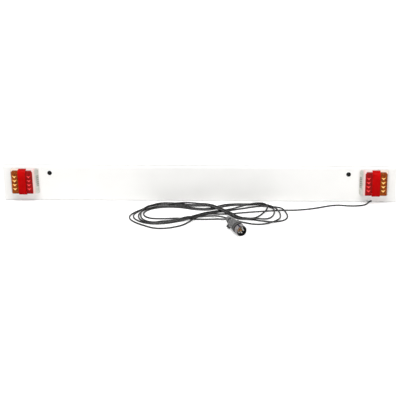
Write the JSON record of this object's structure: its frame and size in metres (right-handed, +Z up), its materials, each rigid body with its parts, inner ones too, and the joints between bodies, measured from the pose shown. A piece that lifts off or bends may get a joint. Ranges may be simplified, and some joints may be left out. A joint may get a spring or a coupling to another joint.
{
  "type": "trailer lighting board",
  "caption": "Long white lighting board for the back of a trailer, with a square lamp at each end, two fixing bolts, and a black cord that ends in a round towing plug.",
  "frame": {"origin": "midway between the two fixing bolts, in the plane of the board's folded rear edges", "axes": "+X along the board, to the right as seen from the front; +Y to the rear, along the fixing bolts; +Z up. The lamps face -Y."},
  "size_m": [1.525, 0.3796, 0.146],
  "materials": {
    "board_plastic": "satin white",
    "black_bolt": "gloss black",
    "zinc": "zinc plated",
    "tray_plastic": "white",
    "amber_plastic": "clear amber",
    "red_plastic": "clear red",
    "reflector_red": "red reflector",
    "clear_plastic": "clear",
    "cup_metal": "vacuum metallised",
    "board_laminate": "circuit board",
    "led_amber": "clear amber",
    "led_red": "clear red",
    "led_white": "clear",
    "gland_rubber": "moulded rubber",
    "cord_sheath": "satin sheath",
    "plug_plastic": "moulded dark grey",
    "insert_plastic": "moulded black",
    "pin_brass": "turned"
  },
  "bodies": {
    "root": {"board": "board_plastic", "fixing_bolts": "black_bolt", "fixing_washers": "zinc", "fixing_nuts": "zinc", "lamp_bolts": "zinc", "lamp_washers": "zinc", "lamp_nuts": "zinc", "cord_lead": "cord_sheath", "cord_heap": "cord_sheath", "cord_tail": "cord_sheath", "plug_shell": "plug_plastic", "plug_body": "plug_plastic", "plug_insert": "insert_plastic", "plug_pins": "pin_brass", "plug_clamp_screw": "zinc", "plug_cap": "gland_rubber", "left_lamp_tray": "tray_plastic", "left_amber_lens": "amber_plastic", "left_red_lens": "red_plastic", "left_reflector_band": "reflector_red", "left_plate_window": "clear_plastic", "left_turn_cups": "cup_metal", "left_tail_cups": "cup_metal", "left_circuit_board": "board_laminate", "left_turn_leds": "led_amber", "left_tail_leds": "led_red", "left_plate_leds": "led_white", "left_cable_gland": "gland_rubber", "right_lamp_tray": "tray_plastic", "right_amber_lens": "amber_plastic", "right_red_lens": "red_plastic", "right_reflector_band": "reflector_red", "right_plate_window": "clear_plastic", "right_turn_cups": "cup_metal", "right_tail_cups": "cup_metal", "right_circuit_board": "board_laminate", "right_turn_leds": "led_amber", "right_tail_leds": "led_red", "right_plate_leds": "led_white", "right_cable_gland": "gland_rubber"}
  },
  "joints": []
}
